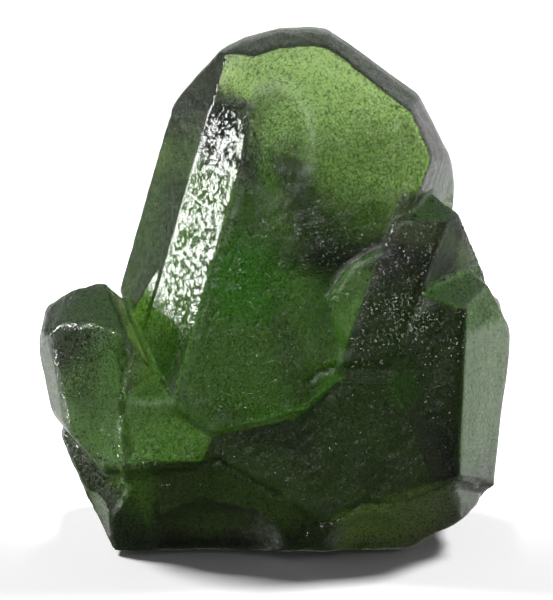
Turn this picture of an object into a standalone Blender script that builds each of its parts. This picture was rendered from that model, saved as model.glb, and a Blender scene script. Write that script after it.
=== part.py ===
"""A natural peridot: etched olivine crystals grown together side by side, standing on their broken base.

Each crystal is a block cut back by flat faces, its edges dulled, and set leaning the way it grew.
They are joined in one solid, and old chips are taken out of the broken lower part.
"""

from math import cos, radians, sin, tan

import bmesh
import bpy
from mathutils import Matrix, Vector

MM = 0.001

# The side of the block each crystal is cut from, in millimetres, and how near a plane counts as on it.
BLOCK = 90.0
ON_PLANE = 1e-8

# The crystals are placed about the main one. This move centres the whole group on the origin.
GROUP_MOVE = (0.15, -0.55, 0.0)

# Every face is (clock, facing, distance). Clock is its direction round the outline as seen from the front,
# clockwise from the crystal's tip. Facing is how far it turns to the viewer: 90 is the front, -90 the back.
# Distance is from the crystal's centre. Lengths are in millimetres and angles in degrees.
LEFT, RIGHT, DOWN, FRONT, BACK = -90, 90, 180, 90, -90

# How much of every sharp edge is worn away.
EDGE_WEAR = 0.1
SHARP = 24

# The main crystal: a thick tablet with a long bevel down its left front edge and a rounded crown.
# The upper part of its front leans back a little.
MAIN_CENTRE = (0.5, 0.0, 20.0)
MAIN_LEAN = 16
MAIN_FRONT = 8.1
MAIN_FACES = [
    (0, FRONT, MAIN_FRONT),
    (0, 79, 9.3),
    (0, BACK, 8.1),
    (LEFT, 25, 9.2),
    (LEFT, 45, 9.1),
    (LEFT, -25, 9.2),
    (LEFT, -50, 9.4),
    (RIGHT, 25, 9.6),
    (RIGHT, -25, 9.6),
    (RIGHT, -50, 9.9),
    (-140, 0, 10.9),
    (-158, 0, 11.5),
    (150, 0, 9.2),
    (114, 0, 7.1),
]
# The crown is a ring of faces: how far out the rim of each lies, by its clock direction.
# Each has a bevel in front, a rim that is all but level, and a long slope behind.
CROWN = {
    -64: 12.5,
    -43: 14.5,
    -31: 15.1,
    -18: 15.55,
    -6: 15.7,
    15: 14.7,
    21: 14.2,
    39: 13.5,
    47: 12.8,
    59: 12.3,
    74: 11.4,
}
CROWN_BEVEL_DEPTH = 3.7
CROWN_BEVEL_FACING = 18
CROWN_RIM_FACING = -8
CROWN_SLOPE_FACING = -66

# The crystal low on the left, leaning the other way, with a ridge down its front and a frosted sloping top.
LEFT_CENTRE = (-12.8, -2.0, 10.0)
LEFT_LEAN = -15
LEFT_FACES = [
    (0, BACK, 6.0),
    (-86, 22, 2.75),
    (LEFT, 62, 3.8),
    (-86, -20, 2.2),
    (-100, 0, 3.0),
    (115, 50, 5.9),
    (75, 0, 5.6),
    (-64, 0, 4.1),
    (-38, 15, 6.2),
    (-10, 30, 7.9),
    (10, 32, 8.7),
    (5, -35, 5.8),
    (-116, 10, 2.4),
    (-170, 20, 5.2),
]

# The slim crystal high on the right, with a dark leaf-shaped top.
UPPER_CENTRE = (9.5, -4.0, 19.7)
UPPER_LEAN = 20
UPPER_FACES = [
    (0, FRONT, 4.4),
    (0, BACK, 5.0),
    (LEFT, -20, 1.3),
    (RIGHT, 44, 3.12),
    (59, -15, 4.4),
    (40, -15, 4.0),
    (31, -25, 3.1),
    (2, -25, 4.3),
    (-55, 10, 5.1),
    (-15, 27, 6.0),
    (160, 60, 6.6),
    (DOWN, 0, 12.0),
]

# The broad crystal low on the right, with a frosted top and a tall flat right side.
LOWER_CENTRE = (11.9, -4.0, 11.2)
LOWER_LEAN = 8
LOWER_FACES = [
    (0, FRONT, 4.4),
    (0, BACK, 8.0),
    (LEFT, 0, 6.0),
    (-75, -20, 3.1),
    (-53, -10, 6.1),
    (84, 33, 2.8),
    (RIGHT, -15, 3.7),
    (82, 0, 4.0),
    (46, -15, 5.8),
    (32, -15, 6.9),
    (12, 32, 8.0),
    (2, -30, 7.3),
    (-118, 65, 4.6),
    (156, 30, 6.25),
    (DOWN, 0, 8.0),
]

# The low step between the main crystal and the slim one, with a narrow bevel along its top.
STEP_CENTRE = (5.8, -6.0, 18.5)
STEP_LEAN = 18
STEP_FACES = [
    (0, FRONT, 2.35),
    (0, BACK, 4.0),
    (-76, -30, 0.65),
    (-128, -30, 0.7),
    (-46, 35, 3.5),
    (-46, -35, 1.8),
    (52, 0, 3.0),
    (162, 0, 4.0),
]

# The shelf under the main crystal's left corner, which ends in a broken ledge.
SHELF_CENTRE = (-8.0, -3.0, 9.5)
SHELF_FACES = [
    (0, FRONT, 4.7),
    (0, BACK, 6.0),
    (LEFT, 0, 2.4),
    (0, 40, 4.7),
    (42, 0, 2.3),
    (64, 0, 2.05),
    (70, 10, 4.3),
    (DOWN, 50, 5.15),
    (DOWN, 0, 6.5),
]

# The body that all of them grew from. Its underside is broken off flat enough to stand on.
BASE_CENTRE = (0.5, 0.0, 6.0)
BASE_FACES = [
    (0, FRONT, 7.6),
    (0, BACK, 8.0),
    (DOWN, 0, 6.0),
    (-118, 0, 12.9),
    (-115, 45, 13.0),
    (-128, -35, 12.4),
    (-163, 0, 8.8),
    (149, 0, 9.4),
    (127, 0, 12.4),
    (98, 0, 13.7),
    (98, 33, 13.4),
    (104, -40, 13.0),
    (-74, 45, 11.6),
    (-62, 0, 14.2),
    (35, 0, 16.2),
    (0, 0, 14.0),
    (0, -45, 14.5),
    (-150, 78, 7.64),
    (158, 55, 8.65),
    (DOWN, 12, 6.6),
    (DOWN, -40, 9.0),
    (150, -55, 10.3),
]

# Three more crystals on the back: one up behind the main crystal's middle, and one low on each side.
BACK_TALL_CENTRE = (-3.0, 4.5, 18.0)
BACK_TALL_LEAN = 16
BACK_TALL_FACES = [
    (0, BACK, 5.0),
    (0, FRONT, 4.0),
    (RIGHT, 0, 9.0),
    (61, -30, 4.4),
    (54, -30, 5.0),
    (44, -30, 6.0),
    (35, -30, 7.0),
    (0, -15, 11.3),
    (-52, -30, 8.2),
    (LEFT, -45, 6.7),
    (LEFT, 0, 6.1),
    (DOWN, -30, 11.0),
    (DOWN, 0, 12.0),
]
BACK_RIGHT_CENTRE = (7.0, 4.6, 12.6)
BACK_RIGHT_LEAN = 13
BACK_RIGHT_FACES = [
    (0, BACK, 4.4),
    (0, FRONT, 5.0),
    (RIGHT, -48, 5.1),
    (RIGHT, 0, 5.0),
    (LEFT, -55, 5.2),
    (LEFT, 0, 4.6),
    (-30, -30, 6.2),
    (22, -25, 6.4),
    (55, -20, 6.2),
    (0, 10, 8.6),
    (DOWN, -30, 11.0),
    (DOWN, 0, 9.0),
]
BACK_LEFT_CENTRE = (-7.4, 3.8, 9.4)
BACK_LEFT_LEAN = -7
BACK_LEFT_FACES = [
    (0, BACK, 4.9),
    (0, FRONT, 4.0),
    (RIGHT, -52, 5.4),
    (RIGHT, 0, 4.6),
    (LEFT, -40, 5.2),
    (LEFT, 0, 4.6),
    (30, -30, 6.6),
    (-24, -28, 5.6),
    (-60, -10, 4.6),
    (DOWN, -45, 8.7),
    (DOWN, 0, 7.0),
]

# Old shell-shaped chips: where each is struck from, the radius of its hollow, and how it is stretched.
CHIPS = [
    ((-5.0, -10.4, 0.2), 5.4, (1.4, 1.0, 1.0)),
    ((7.3, -10.6, -0.9), 5.6, (1.2, 1.0, 1.0)),
    ((16.8, -8.6, 1.6), 5.6, (1.0, 1.0, 1.0)),
    ((-16.2, -7.4, 1.9), 5.2, (1.0, 1.0, 1.2)),
    ((8.5, 12.4, 0.8), 5.2, (1.3, 1.0, 1.0)),
    ((-5.0, 12.6, 2.4), 5.0, (1.5, 1.0, 0.8)),
    ((18.2, 4.6, 4.0), 4.8, (0.9, 1.2, 1.2)),
]
CHIP_SEGMENTS, CHIP_RINGS = 36, 20

PERIDOT_GREEN = (0.16, 0.3, 0.06, 1.0)
PERIDOT_IOR = 1.67
PERIDOT_ROUGHNESS = 0.35


def face_normal(clock, facing):
    """The outward direction of a face, in its crystal's own upright frame."""
    clock, facing = radians(clock), radians(facing)
    return Vector((sin(clock) * cos(facing), -sin(facing), cos(clock) * cos(facing)))


def crown_faces():
    """Three faces for each direction of the crown, which meet along its rim and the bevel's back edge."""
    depth = MAIN_FRONT - CROWN_BEVEL_DEPTH
    bevel = radians(CROWN_BEVEL_FACING)
    rim = radians(CROWN_RIM_FACING)
    slope = radians(CROWN_SLOPE_FACING)
    faces = []
    for clock, reach in CROWN.items():
        bevel_reach = reach - depth * tan(rim)
        faces.append((clock, CROWN_BEVEL_FACING, bevel_reach * cos(bevel) + depth * sin(bevel)))
        faces.append((clock, CROWN_RIM_FACING, reach * cos(rim)))
        faces.append((clock, CROWN_SLOPE_FACING, reach * cos(slope)))
    return faces


def cut_flat(body, point, normal):
    """Takes away what lies outside a plane and closes the cut with one flat face."""
    cut = bmesh.ops.bisect_plane(
        body,
        geom=body.verts[:] + body.edges[:] + body.faces[:],
        dist=ON_PLANE,
        plane_co=point,
        plane_no=normal,
        clear_outer=True,
    )
    outline = [item for item in cut["geom_cut"] if isinstance(item, bmesh.types.BMEdge)]
    if outline:
        bmesh.ops.contextual_create(body, geom=outline)


def wear_edges(body):
    """Cuts a narrow flat along every sharp edge, square to the line halfway between its two faces."""
    flats = []
    body.normal_update()
    for edge in body.edges:
        if len(edge.link_faces) == 2 and edge.calc_face_angle(0) > radians(SHARP):
            outward = (edge.link_faces[0].normal + edge.link_faces[1].normal).normalized()
            flats.append((edge.verts[0].co - outward * EDGE_WEAR * MM, outward))
    for point, outward in flats:
        cut_flat(body, point, outward)
        bmesh.ops.recalc_face_normals(body, faces=body.faces)


def mesh_object(name, body, collection):
    mesh = bpy.data.meshes.new(name)
    bmesh.ops.recalc_face_normals(body, faces=body.faces)
    body.to_mesh(mesh)
    body.free()
    made = bpy.data.objects.new(name, mesh)
    collection.objects.link(made)
    return made


def grow(name, centre, lean, faces, collection):
    """A crystal: a block cut back by its faces, worn at the edges, and leaning right by its angle."""
    body = bmesh.new()
    bmesh.ops.create_cube(body, size=BLOCK * MM)
    for clock, facing, distance in faces:
        normal = face_normal(clock, facing)
        cut_flat(body, normal * distance * MM, normal)
    bmesh.ops.recalc_face_normals(body, faces=body.faces)
    wear_edges(body)
    place = (Vector(centre) + Vector(GROUP_MOVE)) * MM
    stand = Matrix.Translation(place) @ Matrix.Rotation(radians(lean), 4, "Y")
    bmesh.ops.transform(body, matrix=stand, verts=body.verts)
    return mesh_object(name, body, collection)


def chip_hollow(name, centre, radius, stretch, collection):
    body = bmesh.new()
    bmesh.ops.create_uvsphere(body, u_segments=CHIP_SEGMENTS, v_segments=CHIP_RINGS, radius=radius * MM)
    bmesh.ops.transform(body, matrix=Matrix.Diagonal((*stretch, 1.0)), verts=body.verts)
    place = (Vector(centre) + Vector(GROUP_MOVE)) * MM
    bmesh.ops.translate(body, vec=place, verts=body.verts)
    return mesh_object(name, body, collection)


def combine(target, tool, operation):
    """Joins a hidden crystal to the target, or takes a hollow out of it."""
    tool.hide_render = True
    tool.display_type = "WIRE"
    boolean = target.modifiers.new(tool.name, "BOOLEAN")
    boolean.operation = operation
    boolean.solver = "EXACT"
    boolean.object = tool


def peridot_material():
    material = bpy.data.materials.new("clear green peridot")
    material.use_nodes = True
    shader = material.node_tree.nodes["Principled BSDF"]
    shader.inputs["Base Color"].default_value = PERIDOT_GREEN
    shader.inputs["Roughness"].default_value = PERIDOT_ROUGHNESS
    shader.inputs["Metallic"].default_value = 0.0
    shader.inputs["IOR"].default_value = PERIDOT_IOR
    shader.inputs["Transmission Weight"].default_value = 1.0
    return material


def new_collection(name):
    collection = bpy.data.collections.new(name)
    bpy.context.scene.collection.children.link(collection)
    return collection


for old in list(bpy.data.objects):
    bpy.data.objects.remove(old)

shown = new_collection("Peridot crystal")
hidden = new_collection("Joined crystals and hollows")

peridot = grow("peridot_crystal", MAIN_CENTRE, MAIN_LEAN, MAIN_FACES + crown_faces(), shown)
peridot.data.materials.append(peridot_material())

for name, centre, lean, faces in (
    ("base", BASE_CENTRE, 0, BASE_FACES),
    ("left crystal", LEFT_CENTRE, LEFT_LEAN, LEFT_FACES),
    ("shelf", SHELF_CENTRE, 0, SHELF_FACES),
    ("step", STEP_CENTRE, STEP_LEAN, STEP_FACES),
    ("upper crystal", UPPER_CENTRE, UPPER_LEAN, UPPER_FACES),
    ("lower crystal", LOWER_CENTRE, LOWER_LEAN, LOWER_FACES),
    ("back tall crystal", BACK_TALL_CENTRE, BACK_TALL_LEAN, BACK_TALL_FACES),
    ("back right crystal", BACK_RIGHT_CENTRE, BACK_RIGHT_LEAN, BACK_RIGHT_FACES),
    ("back left crystal", BACK_LEFT_CENTRE, BACK_LEFT_LEAN, BACK_LEFT_FACES),
):
    combine(peridot, grow(name, centre, lean, faces, hidden), "UNION")

for number, (centre, radius, stretch) in enumerate(CHIPS, 1):
    combine(peridot, chip_hollow(f"chip {number}", centre, radius, stretch, hidden), "DIFFERENCE")
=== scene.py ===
"""The looks of a natural peridot: etched olivine crystals grown together, standing on their broken base."""

from math import cos, radians, sin
from types import SimpleNamespace

import bmesh
import bpy
import numpy as np
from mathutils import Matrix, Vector


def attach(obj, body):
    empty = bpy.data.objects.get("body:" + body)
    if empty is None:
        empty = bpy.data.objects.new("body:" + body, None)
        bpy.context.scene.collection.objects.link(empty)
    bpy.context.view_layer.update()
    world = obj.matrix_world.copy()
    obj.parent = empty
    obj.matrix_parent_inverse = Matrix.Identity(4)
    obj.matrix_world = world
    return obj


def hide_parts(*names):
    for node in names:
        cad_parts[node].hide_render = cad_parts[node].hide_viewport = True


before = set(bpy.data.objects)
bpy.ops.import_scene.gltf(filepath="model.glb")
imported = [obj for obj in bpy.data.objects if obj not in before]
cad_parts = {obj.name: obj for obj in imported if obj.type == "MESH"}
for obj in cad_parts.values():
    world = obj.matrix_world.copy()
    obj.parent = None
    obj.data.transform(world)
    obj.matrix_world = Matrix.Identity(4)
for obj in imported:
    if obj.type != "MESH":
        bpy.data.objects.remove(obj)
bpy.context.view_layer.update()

# The crystals.
# One intergrown piece of clear green olivine. Its faces are flat where they grew, dulled and pitted by
# natural etching, striped along the crystal on the right sides, and shelly where the base broke off.
MM = 0.001
GRAIN_MM = 0.204
DOUBLES_MM = 0.002


def grained_copy(node, name):
    """The node's solid as an even mesh of small squares, which has the points that its relief needs."""
    body = bmesh.new()
    body.from_mesh(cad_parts[node].data)
    bmesh.ops.remove_doubles(body, verts=body.verts, dist=DOUBLES_MM * MM)
    mesh = bpy.data.meshes.new(name)
    body.to_mesh(mesh)
    body.free()
    made = bpy.data.objects.new(name, mesh)
    bpy.context.scene.collection.objects.link(made)
    grain = made.modifiers.new("even grain", "REMESH")
    grain.mode = "VOXEL"
    grain.voxel_size = GRAIN_MM * MM
    grain.adaptivity = 0.0
    even = bpy.data.meshes.new_from_object(made.evaluated_get(bpy.context.evaluated_depsgraph_get()))
    made.modifiers.clear()
    made.data = even
    even.name = name
    return made


# Large numbers that stir the noise's cell counts and its seed into a number that looks random.
COUNT_STIRRERS = np.array((73856093, 19349663, 83492791), np.uint32)
SEED_STIRRER = 2654435761
SHIFTS_AND_STIRRERS = ((15, 2246822519), (13, 3266489917))
LAST_SHIFT = 16


def lattice(cell, seed):
    """A number from -1 to 1 for each whole-numbered cell, mixed from its three counts and the seed."""
    with np.errstate(over="ignore"):
        mixed_counts = np.bitwise_xor.reduce(cell * COUNT_STIRRERS, axis=-1)
        mixed_counts = mixed_counts ^ np.uint32(seed * SEED_STIRRER % 2**32)
        for shift, stirrer in SHIFTS_AND_STIRRERS:
            mixed_counts = (mixed_counts ^ (mixed_counts >> np.uint32(shift))) * np.uint32(stirrer)
    return (mixed_counts ^ (mixed_counts >> np.uint32(LAST_SHIFT))).astype(np.float64) / 2**31 - 1


def noise(points, seed):
    """Smooth noise from -1 to 1: the lattice's numbers at a cell's corners, blended by a smooth step."""
    low = np.floor(points)
    part = points - low
    part = part * part * (3 - 2 * part)
    low = low.astype(np.int64).astype(np.uint32)
    total = np.zeros(len(points))
    for corner in np.ndindex(2, 2, 2):
        step = np.array(corner, np.uint32)
        weight = np.where(step, part, 1 - part).prod(axis=1)
        total += weight * lattice(low + step, seed)
    return total


def layered(points, seed, layers):
    """Noise added to finer noise, each layer twice as fine and half as deep."""
    return sum(noise(points * 2**n, seed + n) / 2**n for n in range(layers))


# How far a spot may lie from the middle of its cell, in cells.
SPOT_WANDER = 0.45


def nearest_spot(points, seed):
    """The distance to the nearest of the spots scattered one to a cell."""
    low = np.floor(points)
    best = np.full(len(points), np.inf)
    for step in np.ndindex(3, 3, 3):
        cell = low + np.array(step) - 1
        whole = cell.astype(np.int64).astype(np.uint32)
        wander = np.stack([lattice(whole, seed + axis) for axis in range(3)], axis=1)
        spot = cell + 0.5 + SPOT_WANDER * wander
        best = np.minimum(best, np.linalg.norm(points - spot, axis=1))
    return best


def ramp(value, low, high):
    """0 up to low, 1 from high, and a smooth step between."""
    part = np.clip((value - low) / (high - low), 0, 1)
    return part * part * (3 - 2 * part)


def fade(value, low, high):
    """1 up to low, 0 from high, and a smooth step between."""
    return 1 - ramp(value, low, high)


def band(value, in_from, in_to, out_from, out_to):
    """0, then a smooth step up to 1, and later a smooth step down to 0."""
    return ramp(value, in_from, in_to) * fade(value, out_from, out_to)


def blend(first, second, amount):
    """The first row of numbers where the amount is 0, the second where it is 1, and between otherwise."""
    amount = np.asarray(amount)[:, None]
    return first * (1 - amount) + np.asarray(second) * amount


def numbers(collection, field, width, kind=np.float32):
    """One field of every item of a mesh's collection, as an array with a row for each."""
    flat = np.empty(len(collection) * width, kind)
    collection.foreach_get(field, flat)
    return flat.reshape(-1, width)


# Ways to look, as shares of right, away and up. The bevel is the long one down the left front edge of the
# main crystal, and the flakes on the front are tipped a little up and to the left.
RIGHT = np.array((1.0, 0.0, 0.0))
UP = np.array((0.0, 0.0, 1.0))
VIEWER = np.array((0.0, -1.0, 0.0))
BEVEL_FACING = np.array((-0.68, -0.707, 0.195))
FRONT_FLAKE_FACING = (-0.13, -0.97, 0.2)
RIGHT_FLAKE_FACING = (0.55, -0.8, 0.0)

# Old cracks and broken ledges on the front, each a line of (across, up) points in millimetres.
CRACKS = [
    ((-10.2, 11.1), (-9.9, 9.4), (-9.5, 7.8)),
    ((-9.0, 7.1), (-5.0, 7.2), (-3.6, 7.4), (-3.1, 6.9), (-1.9, 6.4), (-1.0, 5.7), (0.8, 4.7)),
    ((-7.9, 4.0), (-7.8, 2.7)),
    ((2.0, 3.7), (2.1, 2.4)),
    ((1.3, 4.1), (3.2, 2.7), (4.5, 3.3), (5.9, 4.3), (8.9, 4.5), (11.1, 5.3), (12.3, 6.2)),
    ((2.3, 13.1), (2.9, 13.7), (4.1, 13.9)),
]
CRACK_HALF_WIDTH_MM = (0.05, 0.26)
CRACK_FACING = (0.1, 0.3)
CRACK_FORWARD_MM = (4, 5)

# How the drawn lines wander: how far, and the length of one wander.
LINE_WANDER_MM = 0.12
LINE_WANDER_LENGTH_MM = 0.5


def line_distance(mm, lines):
    """How far each point is from the nearest of some slightly wandering lines, as seen from the front."""
    place = mm / LINE_WANDER_LENGTH_MM
    seen = mm[:, [0, 2]] + LINE_WANDER_MM * np.column_stack([noise(place, 61), noise(place, 62)])
    best = np.full(len(mm), np.inf)
    for line in lines:
        for start, end in zip(line, line[1:]):
            run = np.subtract(end, start)
            part = np.clip((seen - start) @ run / (run @ run), 0, 1)
            best = np.minimum(best, np.linalg.norm(seen - start - part[:, None] * run, axis=1))
    return best


def cracked(mm, normal):
    """1 along the cracks and 0 beside them, on faces that the viewer can see."""
    line = fade(line_distance(mm, CRACKS), *CRACK_HALF_WIDTH_MM)
    return line * ramp(normal @ VIEWER, *CRACK_FACING) * ramp(mm @ VIEWER, *CRACK_FORWARD_MM)


# A break looks down and lies low, or is the foot of the bevel: the facings, and the heights where it ends.
BROKEN_DOWN = (0.12, 0.4)
BROKEN_DOWN_TOP_MM = (6, 9)
BROKEN_BEVEL = (0.85, 0.95)
BROKEN_BEVEL_TOP_MM = (10, 12)


def shelly(mm, normal):
    """1 on the shelly broken surfaces and 0 on the crystals' own faces."""
    down = ramp(-normal @ UP, *BROKEN_DOWN) * fade(mm @ UP, *BROKEN_DOWN_TOP_MM)
    bevel_foot = ramp(normal @ BEVEL_FACING, *BROKEN_BEVEL) * fade(mm @ UP, *BROKEN_BEVEL_TOP_MM)
    return np.maximum(down, bevel_foot)


# An edge: how much the facing turns from one point to the next, and how its reach spreads from there.
EDGE_TURN = (0.15, 0.5)
EDGE_ROUNDS = 2
EDGE_GAIN = 1.6


def spread(values, edges, rounds):
    """Each point's value averaged with the mean of its neighbours' along the edges, round by round."""
    count = np.bincount(edges.ravel(), minlength=len(values))
    for _ in range(rounds):
        total = np.bincount(edges[:, 0], values[edges[:, 1]], len(values))
        total += np.bincount(edges[:, 1], values[edges[:, 0]], len(values))
        values = (values + total / count) / 2
    return values


def edged(mesh, normal):
    """1 along the crystals' edges, where the facing turns sharply, falling to 0 beside them."""
    edges = numbers(mesh.edges, "vertices", 2, np.int32)
    turn = np.linalg.norm(normal[edges[:, 0]] - normal[edges[:, 1]], axis=1)
    sharpest = np.zeros(len(normal))
    np.maximum.at(sharpest, edges[:, 0], turn)
    np.maximum.at(sharpest, edges[:, 1], turn)
    return np.clip(spread(ramp(sharpest, *EDGE_TURN), edges, EDGE_ROUNDS) * EDGE_GAIN, 0, 1)


# The relief, in millimetres: how deep each kind is, and how long one wave of it is.
WAVE_MM, WAVE_LENGTH_MM = 0.05, 3.2
ETCH_MM, ETCH_LENGTH_MM = 0.022, 0.42
BREAK_MM, BREAK_LENGTH_MM = 0.09, 1.5
NIBBLE_MM, NIBBLE_LENGTH_MM, NIBBLE_LEVELS = 0.08, 0.8, (0.0, 0.9)
CRACK_MM = 0.09

# The pits: how far apart they lie, and where one ends, in shares of that, and how deep next to the etching.
PIT_GAP_MM = 0.75
PIT_RIM = (0.12, 0.5)
PIT_DEPTH = 0.8

# The stripes run up the faces that look right and partly hide the etching there: how deep, how wide, how
# long and how far round the crystal each is.
STRIPE_MM, STRIPE_WIDTH_MM, STRIPE_LENGTH_MM, STRIPE_ROUND_MM = 0.022, 0.6, 9, 0.35
STRIPE_FACING = (0.55, 0.85)
STRIPE_HIDES = 0.7

# How far the main crystal leans to the right, and the heights over which relief starts above the underside.
MAIN_LEAN = radians(16)
OFF_GROUND_MM = (0.05, 0.6)


def relief_depth(mm, normal, edge, broken, crack):
    """How far each point moves out: waves, etching, stripes and breaks summed, less nibbles and cracks."""
    across = mm @ np.array((cos(MAIN_LEAN), 0, -sin(MAIN_LEAN)))
    along = mm @ np.array((sin(MAIN_LEAN), 0, cos(MAIN_LEAN)))
    striped = ramp(normal @ RIGHT, *STRIPE_FACING)
    etched = (1 - broken) * (1 - STRIPE_HIDES * striped)
    pit = fade(nearest_spot(mm / PIT_GAP_MM, 11), *PIT_RIM)
    stripe_place = (across / STRIPE_WIDTH_MM, mm[:, 1] / STRIPE_ROUND_MM, along / STRIPE_LENGTH_MM)
    depth = WAVE_MM * layered(mm / WAVE_LENGTH_MM, seed=1, layers=2)
    depth += etched * ETCH_MM * (noise(mm / ETCH_LENGTH_MM, seed=5) - PIT_DEPTH * pit)
    depth += striped * STRIPE_MM * noise(np.stack(stripe_place, axis=1), seed=21)
    depth += broken * BREAK_MM * layered(mm / BREAK_LENGTH_MM, seed=31, layers=3)
    depth -= edge * NIBBLE_MM * ramp(layered(mm / NIBBLE_LENGTH_MM, seed=41, layers=2), *NIBBLE_LEVELS)
    depth -= CRACK_MM * crack
    return depth * ramp(mm @ UP, *OFF_GROUND_MM)


# How far a face looks some way, as a cosine: from where it starts to count, to where it counts in full.
LOOKS_A_LITTLE = (0.05, 0.3)
LOOKS_ASLANT = (0.3, 0.5)
LOOKS_MOSTLY = (0.6, 0.8)
LOOKS_SQUARELY = (0.85, 0.97)
LOOKS_UP = (0.5, 0.8)
LOOKS_LEFT = (0.75, 0.85)
ON_BEVEL = (0.97, 0.988)
NEAR_BEVEL = (0.9, 0.95)

# The slab is the flat front of the main crystal: how far forward it starts and ends.
SLAB_FORWARD_MM = (8.35, 8.45, 8.78, 8.85)

# The line above which the base's painted dark front gives way to the crystals, from left to right, and its
# blur.
BASE_LINE_X_MM = (-16, -4.9, -4.2, 1.5, 4.8, 20)
BASE_LINE_Z_MM = (6.8, 7.4, 9.2, 10.5, 14.2, 14.2)
BASE_BLUR_MM = (-0.1, 0.2)

# The two small crystals on the right lie right of a leaning line, below their tops and well forward.
SMALL_LINE_X_MM, SMALL_LINE_Z_MM, SMALL_LINE_LEAN = 5.2, 17, 0.36
SMALL_BLUR_MM = (-0.2, 0.2)
SMALL_TOP_MM = (25.5, 26.5)
SMALL_FORWARD_MM = (6.5, 7.5)

# The left crystal lies left of a leaning line, between two heights.
LEFT_LINE_LEAN = 0.25
LEFT_LINE_MM = (5.5, 6.0)
LEFT_HEIGHTS_MM = (6, 7, 21, 22)

# The crests where etched flakes crowd together start at these heights, on the right and on the left.
RIGHT_CREST_FOOT_MM = (12, 17)
LEFT_CREST_FOOT_MM = (14, 17)

# The painted dark streak down the tall crystal, and the patches of denser flakes.
PAINTED_DARK_STREAK = [((1.0, 27.6), (2.4, 24.6), (4.2, 20.8))]
STREAK_HALF_WIDTH_MM = (0.5, 2.6)
PATCH_LENGTH_MM = 0.9
PATCH_LEVELS = (-0.2, 0.5)


def face_regions(mm, normal):
    """How much each point belongs to each region, from 0 to 1, by where it is and which way it looks."""
    x, y, z = mm.T
    on = SimpleNamespace()
    on.front = ramp(normal @ VIEWER, *LOOKS_SQUARELY)
    on.right_side = ramp(normal @ RIGHT, *LOOKS_MOSTLY)
    on.seen = ramp(normal @ VIEWER, *LOOKS_A_LITTLE) * (1 - on.right_side)
    on.top = ramp(normal @ UP, *LOOKS_UP)
    on.bevel = ramp(normal @ BEVEL_FACING, *ON_BEVEL)
    on.slab = on.front * band(-y, *SLAB_FORWARD_MM)
    base_line = np.interp(x, BASE_LINE_X_MM, BASE_LINE_Z_MM)
    on.base = on.seen * ramp(base_line - z, *BASE_BLUR_MM) * (1 - on.slab)
    small_line = SMALL_LINE_X_MM + SMALL_LINE_LEAN * (z - SMALL_LINE_Z_MM)
    small = on.seen * ramp(x - small_line, *SMALL_BLUR_MM) * fade(z, *SMALL_TOP_MM)
    small = small * ramp(-y, *SMALL_FORWARD_MM)
    # The base and the two small crystals, which get painted shade.
    on.dark = np.maximum(on.base, small) * fade(normal @ UP, *LOOKS_ASLANT)
    on.left_crystal = ramp(-x - LEFT_LINE_LEAN * z, *LEFT_LINE_MM) * band(z, *LEFT_HEIGHTS_MM)
    right_crests = on.dark * ramp(z, *RIGHT_CREST_FOOT_MM)
    on.crests = np.maximum(right_crests, on.left_crystal * ramp(z, *LEFT_CREST_FOOT_MM))
    on.veil = fade(line_distance(mm, PAINTED_DARK_STREAK), *STREAK_HALF_WIDTH_MM)
    on.patches = ramp(layered(mm / PATCH_LENGTH_MM, seed=51, layers=2), *PATCH_LEVELS)
    return on


# The shares of red, green and blue that the skin lets through, from the first layer to the last.
# Most layers paint light and shade: painted shade over the slab, the base and the small crystals, painted
# light in the window and in a pool of green, a painted dark streak, a painted glint and a painted sheen.
TINTS = {
    "left face": (0.85, 1.0, 0.7),
    "left face, lower part": (0.17, 0.22, 0.13),
    "frosted tops": (0.7, 1.0, 0.6),
    # Painted shade over the whole slab, the flat front of the main crystal.
    "slab": (0.25, 0.29, 0.14),
    # Painted light: the window near the top of the slab, where the bright back shows through, dimmer at its
    # lower right.
    "window": (0.9, 0.9, 0.93),
    "window's painted light, lower right": (0.3, 0.32, 0.26),
    # Painted shade on the slab right of the pool.
    "painted shade, right of the pool": (0.1, 0.18, 0.05),
    # Painted shade: the darkest part of the slab, where the crystal mirrors its dark surroundings inside.
    "painted shade in the heart": (0.04, 0.055, 0.018),
    # Painted shade on the front above the slab, fading out upwards.
    "painted shade above the slab": (0.24, 0.26, 0.22),
    # Painted shade, green, beside the bevel's top, laid over the window's painted light.
    "painted shade beside the bevel": (0.2, 0.32, 0.12),
    # Painted shade: a dark streak down the slab and the front above it, where the crystal mirrors its dark
    # surroundings inside.
    "dark veil": (0.012, 0.016, 0.01),
    # Painted light: a pool of bright green where the left lamp's light comes in through the bevel.
    "painted pool of green light": (0.15, 0.5, 0.006),
    # Painted shade on the base and on the two small crystals.
    "painted shade on base and small crystals": (0.05, 0.03, 0.09),
    # Painted shade on the bevel's lower part, below its lit band, so that it blends into the slab.
    "painted shade on the bevel's lower part": (0.1, 0.15, 0.07),
    "green inclusion": (0.06, 0.075, 0.08),
    # Painted highlight: a bright green glint along the slab's lower edge.
    "painted glint along the slab's edge": (0.6, 1.0, 0.3),
    # Painted sheen, pale and grey, low on the left of the front.
    "shelf": (0.5, 0.55, 0.45),
    # Less painted shade at the base's left end and on its left side.
    "base, left end": (0.2, 0.18, 0.2),
    "base, left side": (0.65, 0.65, 0.6),
    "base, lower right": (0.9, 0.45, 1.0),
}

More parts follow.
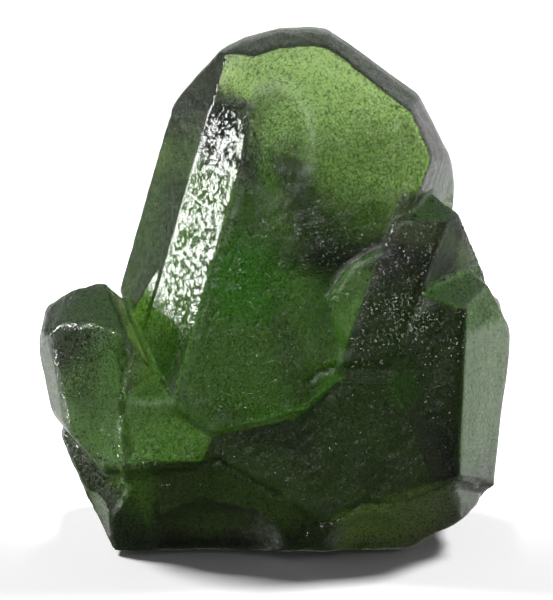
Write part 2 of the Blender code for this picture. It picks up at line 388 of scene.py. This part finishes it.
# Upright ovals on the front: the middle (across, up), half the width and half the height, in millimetres.
# Each keeps its full strength out to a share of its reach. All but the green inclusion place painted light,
# painted shade or a painted sheen.
WINDOW = (1.4, 33.0, 10.0, 7.0)
WINDOW_LOWER_RIGHT = (6.0, 28.4, 5.5, 4.4)
POOL_SIDE_SHADE = (4.0, 18.3, 3.2, 4.0)
SHADED_HEART = (5.8, 22.8, 5.8, 4.9)
SHADE_BESIDE_BEVEL = (-0.2, 28.4, 2.4, 4.2)
POOL_OF_LIGHT = (-1.8, 20.0, 4.0, 4.2)
GREEN_INCLUSION = (8.7, 12.4, 1.5, 2.0)
LOW_LEFT_SHEEN = (-6.0, 9.3, 4.5, 3.5)
OVAL_CORE = 0.35

# Where the tints start and end, in millimetres up, forward, left or right.
LEFT_FACE_FOOT_MM = (13, 16)
LEFT_FACE_LOWER_MM = (25, 29)
ABOVE_SLAB_FOOT_MM = (22, 23)
ABOVE_SLAB_FORWARD_MM = (5.5, 6.5)
ABOVE_SLAB_SHADE_MM, ABOVE_SLAB_SHADE_TILT = (26.5, 32.5), 0.3
BEVEL_LOWER_MM = (9, 10, 15, 19)
# The painted glint along the slab's edge: how far forward, its heights, where it ends on the right and its
# strength.
SLAB_GLINT_FORWARD_MM = (8.2, 8.35, 8.78, 8.85)
SLAB_GLINT_HEIGHTS_MM = (9.5, 10.5, 21, 22)
SLAB_GLINT_END_MM, SLAB_GLINT_STRENGTH = 6, 0.8
BASE_LEFT_END_MM = (7.5, 9.5)
BASE_LEFT_SIDE_MM = (8.0, 9.5)

# The base's lower right is paler under a line that rises to the right.
UNDERCUT_X_MM, UNDERCUT_Z_MM, UNDERCUT_RISE = 4.4, 3.5, 0.352
UNDERCUT_BLUR_MM = (-0.3, 0.3)
UNDERCUT_START_MM = (3.5, 5)

# How much darker the skin is in a crack.
CRACK_SHADE = 0.75


def soft_oval(mm, oval):
    """1 inside the core of an upright oval on the front, falling smoothly to 0 at its rim."""
    x, z, wide, high = oval
    return fade(np.hypot((mm[:, 0] - x) / wide, (mm[:, 2] - z) / high), OVAL_CORE, 1.0)


def skin_tint(mm, normal, edge, crack, on):
    """The skin's tint and a full alpha: each region's tint is laid over those before it, most of them painted
    light or painted shade.
    """
    x, y, z = mm.T
    left_face = ramp(-normal @ RIGHT, *LOOKS_LEFT) * ramp(z, *LEFT_FACE_FOOT_MM)
    above_slab = on.front * (1 - on.slab) * ramp(z, *ABOVE_SLAB_FOOT_MM) * ramp(-y, *ABOVE_SLAB_FORWARD_MM)
    above_slab_shade = fade(z - ABOVE_SLAB_SHADE_TILT * x, *ABOVE_SLAB_SHADE_MM)
    slab_glint = on.seen * edge * band(-y, *SLAB_GLINT_FORWARD_MM) * band(z, *SLAB_GLINT_HEIGHTS_MM)
    undercut_line = UNDERCUT_Z_MM + UNDERCUT_RISE * (x - UNDERCUT_X_MM)
    undercut = ramp(undercut_line - z, *UNDERCUT_BLUR_MM) * ramp(x, *UNDERCUT_START_MM)
    looks_left = ramp(-normal @ RIGHT, *LOOKS_ASLANT)
    amounts = {
        "left face": left_face,
        "left face, lower part": left_face * fade(z, *LEFT_FACE_LOWER_MM),
        "frosted tops": on.top,
        "slab": on.slab,
        "window": on.slab * soft_oval(mm, WINDOW),
        "window's painted light, lower right": on.slab * soft_oval(mm, WINDOW_LOWER_RIGHT),
        "painted shade, right of the pool": on.slab * soft_oval(mm, POOL_SIDE_SHADE),
        "painted shade in the heart": on.slab * soft_oval(mm, SHADED_HEART),
        "painted shade above the slab": above_slab * above_slab_shade,
        "painted shade beside the bevel": on.slab * soft_oval(mm, SHADE_BESIDE_BEVEL),
        "dark veil": np.maximum(on.slab, above_slab) * on.veil,
        "painted pool of green light": on.slab * soft_oval(mm, POOL_OF_LIGHT),
        "painted shade on base and small crystals": on.dark,
        "painted shade on the bevel's lower part": on.bevel * band(z, *BEVEL_LOWER_MM),
        "green inclusion": on.dark * soft_oval(mm, GREEN_INCLUSION),
        "painted glint along the slab's edge": SLAB_GLINT_STRENGTH * slab_glint * (x < SLAB_GLINT_END_MM),
        "shelf": on.seen * (1 - on.dark) * soft_oval(mm, LOW_LEFT_SHEEN),
        "base, left end": on.base * ramp(-x, *BASE_LEFT_END_MM),
        "base, left side": on.base * ramp(-x, *BASE_LEFT_SIDE_MM) * looks_left,
        "base, lower right": on.base * undercut,
    }
    tint = np.ones_like(mm)
    for region, colour in TINTS.items():
        tint = blend(tint, colour, amounts[region])
    return np.column_stack([tint * (1 - CRACK_SHADE * crack)[:, None], np.ones(len(mm))])


# How rough the skin is: everywhere, what each region adds, the least along edges, and what the bevel has
# instead, with more along its edges near its tip.
SKIN_ROUGH, SLAB_ROUGHER, DARK_ROUGHER, TOP_ROUGHER, BREAK_ROUGHER = 0.2, 0.02, 0.1, 0.2, 0.2
EDGE_ROUGH, BEVEL_ROUGH, BEVEL_TIP_ROUGHER = 0.5, 0.14, 0.4
BEVEL_TIP_MM = (30.2, 31.2)


def skin_roughness(mm, edge, broken, on):
    """The regions' shares summed, but at least the edges' own, and the bevel's own on the bevel."""
    rough = SKIN_ROUGH + SLAB_ROUGHER * on.slab + DARK_ROUGHER * on.dark
    rough = rough + TOP_ROUGHER * on.top + BREAK_ROUGHER * broken
    rough = np.maximum(rough, EDGE_ROUGH * edge)
    bevel_rough = BEVEL_ROUGH + BEVEL_TIP_ROUGHER * edge * ramp(mm @ UP, *BEVEL_TIP_MM)
    return rough * (1 - on.bevel) + bevel_rough * on.bevel


# What is added to the facing on the bevel, below and above a height, where its etched steps look forward.
BEVEL_TURN_LOW, BEVEL_TURN_HIGH, BEVEL_TURN_MM = (0.2, -1.0, 0.1), (0.12, -0.42, 0.0), 13

# The underside of the slab's lower right ledge.
LEDGE_DOWN, LEDGE_FORWARD = (0.2, 0.35), (0.5, 0.6)
LEDGE_FOOT_MM, LEDGE_START_MM = (11.5, 12.3), (2.5, 3.5)

# The thin worn faces that frame the window.
FRAME_FACING, FRAME_FOOT_MM = (0.76, 0.84), (25.5, 27)

# The left rim of the bevel, which turns back.
RIM_FACING, RIM_LEFTWARD, RIM_TURN = (0.93, 0.96), 0.715, (-0.35, 0.35, 0.0)

# The worn tip of the bevel and, further to the left, the flank beside it.
TIP_MM, FLANK_MM, FLANK_LOOKS, FLANK_LEFTWARD = (31.2, 32.2), (30.6, 31.2), (0.78, 0.84), 0.72
FLANK_FACING = (-0.87, -0.43, 0.25)

# Beside the bevel's top the facing leans left, so that light from the back right shows through there.
BESIDE_BEVEL, BESIDE_TURN = (0.1, 29.4, 3.3, 5.0), (-0.5, 0.0, 0.05)

# The worn edges at the lower left of the group.
CORNER_LEFT_MM, CORNER_TOP_MM, CORNER_TURN = (7.5, 8.5), (9, 11), (0.5, -1.2, 0.0)

# Less of the bevel than this counts as none of it.
OFF_BEVEL = 0.01


def skin_rounding(mm, normal, edge, on):
    """What is added to each facing for the light alone, where fine steps, wear and inner flaws turn it."""
    x, y, z = mm.T
    to_viewer = VIEWER - normal
    toward_bevel = normal @ BEVEL_FACING
    leftward = -normal @ RIGHT
    ledge = ramp(-normal @ UP, *LEDGE_DOWN) * ramp(normal @ VIEWER, *LEDGE_FORWARD)
    ledge = ledge * ramp(z, *LEDGE_FOOT_MM) * ramp(x, *LEDGE_START_MM)
    window_frame = ramp(normal @ VIEWER, *FRAME_FACING) * (1 - ledge) * (on.bevel <= OFF_BEVEL)
    window_frame = window_frame * ramp(z, *FRAME_FOOT_MM)
    left_rim = edge * ramp(toward_bevel, *RIM_FACING) * (leftward > RIM_LEFTWARD) * (on.bevel < 1 - OFF_BEVEL)
    tip = ramp(toward_bevel, *NEAR_BEVEL) * (leftward < FLANK_LEFTWARD) * ramp(z, *TIP_MM)
    flank = ramp(toward_bevel, *FLANK_LOOKS) * (leftward >= FLANK_LEFTWARD) * ramp(z, *FLANK_MM)
    beside = on.front * (1 - edge) * soft_oval(mm, BESIDE_BEVEL)
    corner = edge * ramp(-x, *CORNER_LEFT_MM) * fade(z, *CORNER_TOP_MM)
    rounding = on.bevel[:, None] * np.where((z < BEVEL_TURN_MM)[:, None], BEVEL_TURN_LOW, BEVEL_TURN_HIGH)
    rounding = blend(rounding, to_viewer, ledge)
    rounding += window_frame[:, None] * to_viewer
    rounding = blend(rounding, RIM_TURN, left_rim)
    rounding = blend(rounding, to_viewer, tip)
    rounding = blend(rounding, FLANK_FACING - normal, flank)
    rounding = blend(rounding, BESIDE_TURN, beside)
    return blend(rounding, CORNER_TURN, corner)


# How much the skin's grains tip this way and that: everywhere, and what each region adds.
GLITTER, BEVEL_GLITTER, BASE_GLITTER = 0.035, 0.015, 0.04
CREST_GLITTER, TOP_GLITTER, BREAK_GLITTER = 0.02, 0.06, 0.05


def skin_glitter(broken, on):
    """The regions' shares of glitter summed."""
    glitter = GLITTER + BEVEL_GLITTER * on.bevel + BASE_GLITTER * on.base
    return glitter + CREST_GLITTER * on.crests + TOP_GLITTER * on.top + BREAK_GLITTER * broken


# Worn crests and crumbs where flakes crowd together, each a line of (across, up) points in millimetres.
BRIGHT_CRESTS = [
    ((-9.6, 17.2), (-9.3, 14.9), (-9.8, 13.2), (-10.3, 11.8)),
    ((12.2, 21.3), (11.0, 20.1), (9.9, 18.9), (9.5, 17.8), (8.8, 16.2)),
    ((6.4, 33.7), (7.5, 32.6)),
    ((13.0, 18.1), (12.5, 15.0)),
    ((9.9, 23.0), (10.6, 21.9)),
    ((8.7, 24.9), (9.3, 24.4)),
    ((5.4, 21.2), (5.6, 20.6)),
    ((-7.5, 5.5), (-7.3, 5.3)),
    ((3.1, 2.7), (4.5, 3.2)),
    ((2.2, 2.1), (2.4, 2.0)),
    ((7.6, 1.3), (7.8, 1.3)),
]
CREST_HALF_WIDTH_MM = (0.08, 0.4)
CREST_FACING = (0.2, 0.4)

# How much of each region the flakes cover. On the bevel they lie within a band of heights, densest in its
# patches, and there are none at its two bare ends.
BEVEL_LEAST_FLAKES, BEVEL_FLAKES = 0.1, 0.6
BEVEL_FLAKES_MM = (12.5, 19.5, 29.5, 32.8)
EVEN_SHARE, PATCH_SHARE = 0.75, 0.25
FRONT_FLAKES, FEWER_ON_BASE = 0.35, 0.42
STREAK_FLAKES = 0.38
SPECKLED_OVAL, SPECKLED_FLAKES = (5.2, 18.6, 2.8, 4.2), 0.37
CREST_FLAKES, CREST_PATCH_FLAKES = 0.32, 0.15
LEFT_CRYSTAL_FLAKES, LEFT_CRYSTAL_PATCH_FLAKES = 0.36, 0.12
TOP_AND_SIDE_FLAKES = 0.3
RIGHT_SIDE_FLAKES, RIGHT_SIDE_FLAKES_MM = 0.75, (15, 17, 24, 25)
FOOT_CHIP, FOOT_CHIP_FLAKES, FOOT_CHIP_RIGHTWARD = (13.0, 5.3, 1.7, 1.6), 0.85, 0.1
CREST_LINE_FLAKES = 0.6


def flake_cover(mm, normal, on):
    """The share of the skin that etched flakes cover: the most that any region gives a point."""
    lit = band(mm @ UP, *BEVEL_FLAKES_MM)
    bevel_flakes = BEVEL_LEAST_FLAKES + BEVEL_FLAKES * lit * (EVEN_SHARE + PATCH_SHARE * on.patches)
    flakes = np.where(on.bevel > 0.5, bevel_flakes, FRONT_FLAKES * on.front * (1 - FEWER_ON_BASE * on.base))
    flakes = np.where(on.bevel * (1 - lit) > 1 - OFF_BEVEL, 0.0, flakes)
    crest_line = fade(line_distance(mm, BRIGHT_CRESTS), *CREST_HALF_WIDTH_MM)
    foot_chip = on.seen * soft_oval(mm, FOOT_CHIP) * (normal @ RIGHT > FOOT_CHIP_RIGHTWARD)
    covers = (
        STREAK_FLAKES * on.veil * on.front,
        SPECKLED_FLAKES * on.slab * soft_oval(mm, SPECKLED_OVAL),
        on.crests * (CREST_FLAKES + CREST_PATCH_FLAKES * on.patches),
        on.left_crystal * (LEFT_CRYSTAL_FLAKES + LEFT_CRYSTAL_PATCH_FLAKES * on.patches),
        TOP_AND_SIDE_FLAKES * np.maximum(on.top, on.right_side),
        RIGHT_SIDE_FLAKES * on.right_side * band(mm @ UP, *RIGHT_SIDE_FLAKES_MM),
        FOOT_CHIP_FLAKES * foot_chip,
        CREST_LINE_FLAKES * crest_line * ramp(normal @ VIEWER, *CREST_FACING),
    )
    for cover in covers:
        flakes = np.maximum(flakes, cover)
    return flakes


def flake_facing(normal, on):
    """The way each face's flakes look. They grew side by side, so on one face they all look the same way."""
    facing = blend(normal, FRONT_FLAKE_FACING, ramp(normal @ VIEWER, *LOOKS_MOSTLY))
    facing = blend(facing, BEVEL_FACING, ramp(normal @ BEVEL_FACING, *NEAR_BEVEL))
    facing = blend(facing, UP, on.top)
    return blend(facing, RIGHT_FLAKE_FACING, on.right_side)


# What the mesh keeps for its material: the way its flakes look, 1 where they are the finer kind, the tint
# with its painted light and shade, what is added to the facing, the roughness, the share that flakes cover,
# and how much the grains tip.
# The kind and the field of an attribute go by how many numbers it holds for each point.
ATTRIBUTE_KINDS = {1: ("FLOAT", "value"), 3: ("FLOAT_VECTOR", "vector"), 4: ("FLOAT_COLOR", "color")}


def weather(mesh):
    """Keeps the skin's values on the mesh for its material, then moves each point along its normal."""
    place = numbers(mesh.vertices, "co", 3).astype(np.float64)
    normal = numbers(mesh.vertex_normals, "vector", 3).astype(np.float64)
    mm = place / MM
    edge = edged(mesh, normal)
    broken = shelly(mm, normal)
    crack = cracked(mm, normal)
    on = face_regions(mm, normal)
    skin = {
        "turned": flake_facing(normal, on),
        "fine": (on.bevel <= OFF_BEVEL).astype(np.float64),
        "tint": skin_tint(mm, normal, edge, crack, on),
        "rounding": skin_rounding(mm, normal, edge, on),
        "rough": skin_roughness(mm, edge, broken, on),
        "flakes": flake_cover(mm, normal, on),
        "glitter": skin_glitter(broken, on),
    }
    for name, values in skin.items():
        kind, field = ATTRIBUTE_KINDS[values.size // len(mm)]
        mesh.attributes.new(name, kind, "POINT").data.foreach_set(field, values.astype(np.float32).ravel())
    place += normal * (relief_depth(mm, normal, edge, broken, crack) * MM)[:, None]
    mesh.vertices.foreach_set("co", place.astype(np.float32).ravel())
    mesh.update()


peridot = grained_copy("peridot_crystal", "peridot_crystals")
weather(peridot.data)
peridot.data.shade_smooth()


def new_material(name):
    """A new material, with its nodes and its links."""
    material = bpy.data.materials.new(name)
    material.use_nodes = True
    return material, material.node_tree.nodes, material.node_tree.links


def object_place(nodes):
    """Where a point is on the object, in metres."""
    return nodes.new("ShaderNodeTexCoord").outputs["Object"]


def noise_pattern(nodes, links, place, per_mm, layers, roughness):
    """A noise pattern fixed to the place given, with so many repeats per millimetre."""
    pattern = nodes.new("ShaderNodeTexNoise")
    pattern.inputs["Scale"].default_value = per_mm / MM
    pattern.inputs["Detail"].default_value = layers
    pattern.inputs["Roughness"].default_value = roughness
    links.new(place, pattern.inputs["Vector"])
    return pattern.outputs["Fac"]


def mapped(nodes, links, value, low, high, to_low, to_high):
    """The value stretched so that low becomes to_low and high becomes to_high, and kept between them."""
    span = nodes.new("ShaderNodeMapRange")
    ends = {"From Min": low, "From Max": high, "To Min": to_low, "To Max": to_high}
    for socket, end in ends.items():
        span.inputs[socket].default_value = end
    links.new(value, span.inputs["Value"])
    return span.outputs["Result"]


def attribute(nodes, name, kind="Fac"):
    """One of the values that the mesh keeps for its skin."""
    found = nodes.new("ShaderNodeAttribute")
    found.attribute_name = name
    return found.outputs[kind]


# Where a mix node has its two sides and its result, for plain numbers and for facings.
MIX_SOCKETS = {"FLOAT": (2, 3, 0), "VECTOR": (4, 5, 1)}


def mixed(nodes, links, amount, first, second, kind="FLOAT"):
    """The first value where the amount is 0, the second where it is 1. Each is a number or an output."""
    mix = nodes.new("ShaderNodeMix")
    mix.data_type = kind
    first_socket, second_socket, result = MIX_SOCKETS[kind]
    links.new(amount, mix.inputs[0])
    for socket, value in ((mix.inputs[first_socket], first), (mix.inputs[second_socket], second)):
        if isinstance(value, float):
            socket.default_value = value
        else:
            links.new(value, socket)
    return mix.outputs[result]


def vector_step(nodes, links, operation, first, second=None):
    """One step of vector sums. Each side may be a node's output or three plain numbers."""
    step = nodes.new("ShaderNodeVectorMath")
    step.operation = operation
    for socket, value in zip(step.inputs, (first, second)):
        if isinstance(value, tuple):
            socket.default_value = value
        elif value is not None:
            links.new(value, socket)
    return step.outputs["Vector"]


def number_step(nodes, links, operation, first, second):
    """One step of sums on two numbers, each a node's output."""
    step = nodes.new("ShaderNodeMath")
    step.operation = operation
    links.new(first, step.inputs[0])
    links.new(second, step.inputs[1])
    return step.outputs["Value"]


# The flakes: repeats per millimetre, layers and roughness of the noise on the bevel and elsewhere, and how
# high the noise has to be for a flake where none cover the skin and where all of it is covered.
BEVEL_FLAKE_NOISE = (2.7, 4, 0.7)
OTHER_FLAKE_NOISE = (5.0, 3, 0.7)
NO_FLAKES_LEVEL, ALL_FLAKES_LEVEL = 0.76, 0.3
FLAKE_RIM = 0.02


def flake_mask(nodes, links):
    """1 on the little etched flakes and 0 between them: where the noise is above the level of their cover."""
    place = object_place(nodes)
    level = mapped(nodes, links, attribute(nodes, "flakes"), 0.0, 1.0, NO_FLAKES_LEVEL, ALL_FLAKES_LEVEL)
    coarse = noise_pattern(nodes, links, place, *BEVEL_FLAKE_NOISE)
    fine = noise_pattern(nodes, links, place, *OTHER_FLAKE_NOISE)
    pattern = mixed(nodes, links, attribute(nodes, "fine"), coarse, fine)
    above = number_step(nodes, links, "SUBTRACT", pattern, level)
    return mapped(nodes, links, above, 0.0, FLAKE_RIM, 0.0, 1.0)


# How many of the skin's tipped grains lie along a millimetre.
GRAINS_PER_MM = 6.0


def grain_normals(nodes, links, flakes):
    """The surface's facing and its rounding, or the flakes' facing on them, tipped a little in each grain."""
    cells = nodes.new("ShaderNodeTexVoronoi")
    cells.inputs["Scale"].default_value = GRAINS_PER_MM / MM
    links.new(object_place(nodes), cells.inputs["Vector"])
    centred = vector_step(nodes, links, "SUBTRACT", cells.outputs["Color"], (0.5, 0.5, 0.5))
    doubled = vector_step(nodes, links, "MULTIPLY", centred, (2.0, 2.0, 2.0))
    tipped = vector_step(nodes, links, "MULTIPLY", doubled, attribute(nodes, "glitter"))
    facing = nodes.new("ShaderNodeNewGeometry").outputs["Normal"]
    facing = vector_step(nodes, links, "ADD", facing, attribute(nodes, "rounding", "Vector"))
    facing = vector_step(nodes, links, "NORMALIZE", facing)
    facing = mixed(nodes, links, flakes, facing, attribute(nodes, "turned", "Vector"), "VECTOR")
    return vector_step(nodes, links, "NORMALIZE", vector_step(nodes, links, "ADD", facing, tipped))


# The fine speckle of the tint: its noise, the noise levels between which it runs, and its two strengths.
SPECKLE_NOISE = (6.0, 2, 0.7)
SPECKLE_LEVELS, SPECKLE_STRENGTHS = (0.33, 0.67), (0.15, 1.85)

# The scratches: the two ways they run, their stretch, their noise and its levels, and the tint left in one.
SCRATCH_TURNS = (38, -24)
SCRATCH_STRETCH = (1, 1, 5.0)
SCRATCH_NOISE = (8.0, 1, 0.5)
SCRATCH_LEVELS = (0.64, 0.7)
SCRATCH_LEAVES = 0.25


def scratches(nodes, links, turn):
    """1 on short fine dashes that all run one way, and 0 elsewhere."""
    turned = nodes.new("ShaderNodeMapping")
    turned.vector_type = "TEXTURE"
    turned.inputs["Rotation"].default_value = (0, radians(turn), 0)
    turned.inputs["Scale"].default_value = SCRATCH_STRETCH
    links.new(object_place(nodes), turned.inputs["Vector"])
    pattern = noise_pattern(nodes, links, turned.outputs["Vector"], *SCRATCH_NOISE)
    return mapped(nodes, links, pattern, *SCRATCH_LEVELS, 0.0, 1.0)


def speckled_tint(nodes, links):
    """The skin's tint, speckled by fine grain, and darker along short scratches."""
    speckle = noise_pattern(nodes, links, object_place(nodes), *SPECKLE_NOISE)
    speckle = mapped(nodes, links, speckle, *SPECKLE_LEVELS, *SPECKLE_STRENGTHS)
    for turn in SCRATCH_TURNS:
        left = mapped(nodes, links, scratches(nodes, links, turn), 0.0, 1.0, 1.0, SCRATCH_LEAVES)
        speckle = number_step(nodes, links, "MULTIPLY", speckle, left)
    return vector_step(nodes, links, "MULTIPLY", attribute(nodes, "tint", "Color"), speckle)


# What the crystal takes out of white light on its way through, and how strongly, per metre.
CRYSTAL_TINT = (0.42, 0.587, 0.13, 1.0)
CRYSTAL_DEPTH = 365.0
PERIDOT_IOR = 1.67
CLEAR_SHARE = 0.985
FLAKE_ROUGHNESS = 0.13

# The finest etching, too small for the mesh: its noise and its depth.
FINE_ETCH_NOISE = (8.0, 2, 0.65)
FINE_ETCH_MM = 0.03


def peridot_material():
    """Clear green crystal: light is tinted on its way through, and the etched skin blurs it."""
    material, nodes, links = new_material("etched peridot")
    shader = nodes["Principled BSDF"]
    shader.inputs["IOR"].default_value = PERIDOT_IOR
    shader.inputs["Transmission Weight"].default_value = CLEAR_SHARE
    inside = nodes.new("ShaderNodeVolumeAbsorption")
    inside.inputs["Color"].default_value = CRYSTAL_TINT
    inside.inputs["Density"].default_value = CRYSTAL_DEPTH
    links.new(inside.outputs["Volume"], nodes["Material Output"].inputs["Volume"])
    flakes = flake_mask(nodes, links)
    roughness = mixed(nodes, links, flakes, attribute(nodes, "rough"), FLAKE_ROUGHNESS)
    bump = nodes.new("ShaderNodeBump")
    bump.inputs["Distance"].default_value = FINE_ETCH_MM * MM
    links.new(grain_normals(nodes, links, flakes), bump.inputs["Normal"])
    links.new(noise_pattern(nodes, links, object_place(nodes), *FINE_ETCH_NOISE), bump.inputs["Height"])
    links.new(speckled_tint(nodes, links), shader.inputs["Base Color"])
    links.new(roughness, shader.inputs["Roughness"])
    links.new(bump.outputs["Normal"], shader.inputs["Normal"])
    return material


peridot.data.materials.clear()
peridot.data.materials.append(peridot_material())
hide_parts("peridot_crystal")
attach(peridot, "root")

# The white ground.
# A sheet of matt white board that reaches past the view on every side.
GROUND_M = 1.6
GROUND_WHITE = (0.9, 0.9, 0.9, 1)
GROUND_ROUGHNESS = 0.9

ground_mesh = bpy.data.meshes.new("white_ground")
corner = GROUND_M / 2
corners = [(-corner, -corner, 0), (corner, -corner, 0), (corner, corner, 0), (-corner, corner, 0)]
ground_mesh.from_pydata(corners, [], [(0, 1, 2, 3)])
ground = bpy.data.objects.new("white_ground", ground_mesh)
bpy.context.scene.collection.objects.link(ground)
board, board_nodes, board_links = new_material("matt white board")
board_nodes["Principled BSDF"].inputs["Base Color"].default_value = GROUND_WHITE
board_nodes["Principled BSDF"].inputs["Roughness"].default_value = GROUND_ROUGHNESS
ground_mesh.materials.append(board)
ground.visible_glossy = False

# The surround.
# A white tent round the group: bright behind it, dim in front and on the left, softer overhead.
TENT_BACK, TENT_FRONT, TENT_LEFT, TENT_TOP = 1.2, 0.03, 0.08, 0.28

# The light off the floor, brightest behind, and what matt surfaces get from the tent instead.
TENT_FLOOR, TENT_FILL = 1.3, 0.1

# Where one part of the tent gives way to the next, as shares of right, away or up.
FRONT_TO_BACK = (-0.6, -0.2)
MIDDLE_TO_LEFT = (-0.3, -0.65)
SIDES_TO_TOP = (0.35, 0.7)
SIDES_TO_FLOOR = (-0.05, -0.25)
FLOOR_FRONT_TO_BACK = (-0.4, 0.1)
FLOOR_TO_UNDER_GROUP = (-0.6, -0.8)

tent = bpy.data.worlds.new("soft surround")
bpy.context.scene.world = tent
tent.use_nodes = True
tent_nodes, tent_links = tent.node_tree.nodes, tent.node_tree.links
tent_way = tent_nodes.new("ShaderNodeSeparateXYZ")
tent_links.new(tent_nodes.new("ShaderNodeTexCoord").outputs["Generated"], tent_way.inputs["Vector"])
rightward, away, upward = (tent_way.outputs[axis] for axis in "XYZ")


def tent_part(way, limits, low=0.0, high=1.0):
    """A value that goes from low to high as the light's way passes between two limits."""
    return mapped(tent_nodes, tent_links, way, *limits, low, high)


brightness = tent_part(away, FRONT_TO_BACK, TENT_FRONT, TENT_BACK)
floor_brightness = tent_part(away, FLOOR_FRONT_TO_BACK, TENT_FRONT, TENT_FLOOR)
matt_share = tent_nodes.new("ShaderNodeLightPath").outputs["Is Diffuse Ray"]
tent_layers = (
    (tent_part(rightward, MIDDLE_TO_LEFT), TENT_LEFT),
    (tent_part(upward, SIDES_TO_TOP), TENT_TOP),
    (tent_part(upward, SIDES_TO_FLOOR), floor_brightness),
    (tent_part(upward, FLOOR_TO_UNDER_GROUP), TENT_FRONT),
    (matt_share, TENT_FILL),
)
for amount, layer_brightness in tent_layers:
    brightness = mixed(tent_nodes, tent_links, amount, brightness, layer_brightness)
tent_nodes["Background"].inputs["Color"].default_value = (1, 1, 1, 1)
tent_links.new(brightness, tent_nodes["Background"].inputs["Strength"])

# The lamps.
# One low on the left that the long bevel mirrors, one small one in front for the flakes, two soft ones high
# behind that throw the short shadow, and a spot above the back that points straight down.

# Each flat lamp: where it stands, how wide and how deep it is, in millimetres, and its power in watts.
MIRRORED_LAMPS = {
    "left lamp": ((-330, -30, 40), (130, 130), 1.3),
    "spark lamp": ((-75, -285, 60), (24, 24), 0.125),
}
CEILING_LAMPS = {
    "ceiling lamp left": ((-1000, 450, 1300), (400, 300), 34.0),
    "ceiling lamp right": ((1000, 450, 1300), (400, 300), 34.0),
}
LAMPS_AIM_MM = (0, 0, 20)

# The spot: where it stands, the width of its cone in degrees, how soft its rim is, its radius and its watts.
SPOT_AT_MM = (-1, 50, 220)
SPOT_CONE = 30
SPOT_SOFT_RIM = 0.7
SPOT_RADIUS_MM = 10
SPOT_WATTS = 1.8


def add_lamp(name, at_mm, sides_mm, watts):
    """A flat lamp aimed at the middle of the group."""
    data = bpy.data.lights.new(name, "AREA")
    data.shape = "RECTANGLE"
    data.size = sides_mm[0] * MM
    data.size_y = sides_mm[1] * MM
    data.energy = watts
    lamp = bpy.data.objects.new(name, data)
    bpy.context.scene.collection.objects.link(lamp)
    lamp.location = Vector(at_mm) * MM
    lamp.rotation_euler = (Vector(LAMPS_AIM_MM) * MM - lamp.location).to_track_quat("-Z", "Y").to_euler()
    return lamp


def hide_in_mirrors(lamp):
    """Keeps a lamp's own shape out of what the crystal reflects and shows through it."""
    lamp.visible_glossy = False
    lamp.visible_transmission = False


for lamp_name, lamp_values in MIRRORED_LAMPS.items():
    add_lamp(lamp_name, *lamp_values).visible_diffuse = False
for lamp_name, lamp_values in CEILING_LAMPS.items():
    hide_in_mirrors(add_lamp(lamp_name, *lamp_values))

spot_data = bpy.data.lights.new("spot behind", "SPOT")
spot_data.energy = SPOT_WATTS
spot_data.spot_size = radians(SPOT_CONE)
spot_data.spot_blend = SPOT_SOFT_RIM
spot_data.shadow_soft_size = SPOT_RADIUS_MM * MM
spot = bpy.data.objects.new("spot behind", spot_data)
spot.location = Vector(SPOT_AT_MM) * MM
bpy.context.scene.collection.objects.link(spot)
hide_in_mirrors(spot)

# The camera.
# It looks a little down on the front, from where the photograph was taken.
AIM_MM = (0.15, -0.55, 16.6)
CAMERA_FAR_MM = 320.0
CAMERA_RISE = radians(14)
CAMERA_LENS = 304.6

camera_data = bpy.data.cameras.new("camera")
camera_data.lens = CAMERA_LENS
camera_data.sensor_fit = "HORIZONTAL"
camera = bpy.data.objects.new("camera", camera_data)
bpy.context.scene.collection.objects.link(camera)
aim = Vector(AIM_MM) * MM
camera.location = aim + Vector((0, -cos(CAMERA_RISE), sin(CAMERA_RISE))) * CAMERA_FAR_MM * MM
camera.rotation_euler = (radians(90) - CAMERA_RISE, 0, 0)
bpy.context.scene.camera = camera
bpy.context.scene.view_settings.view_transform = "Standard"
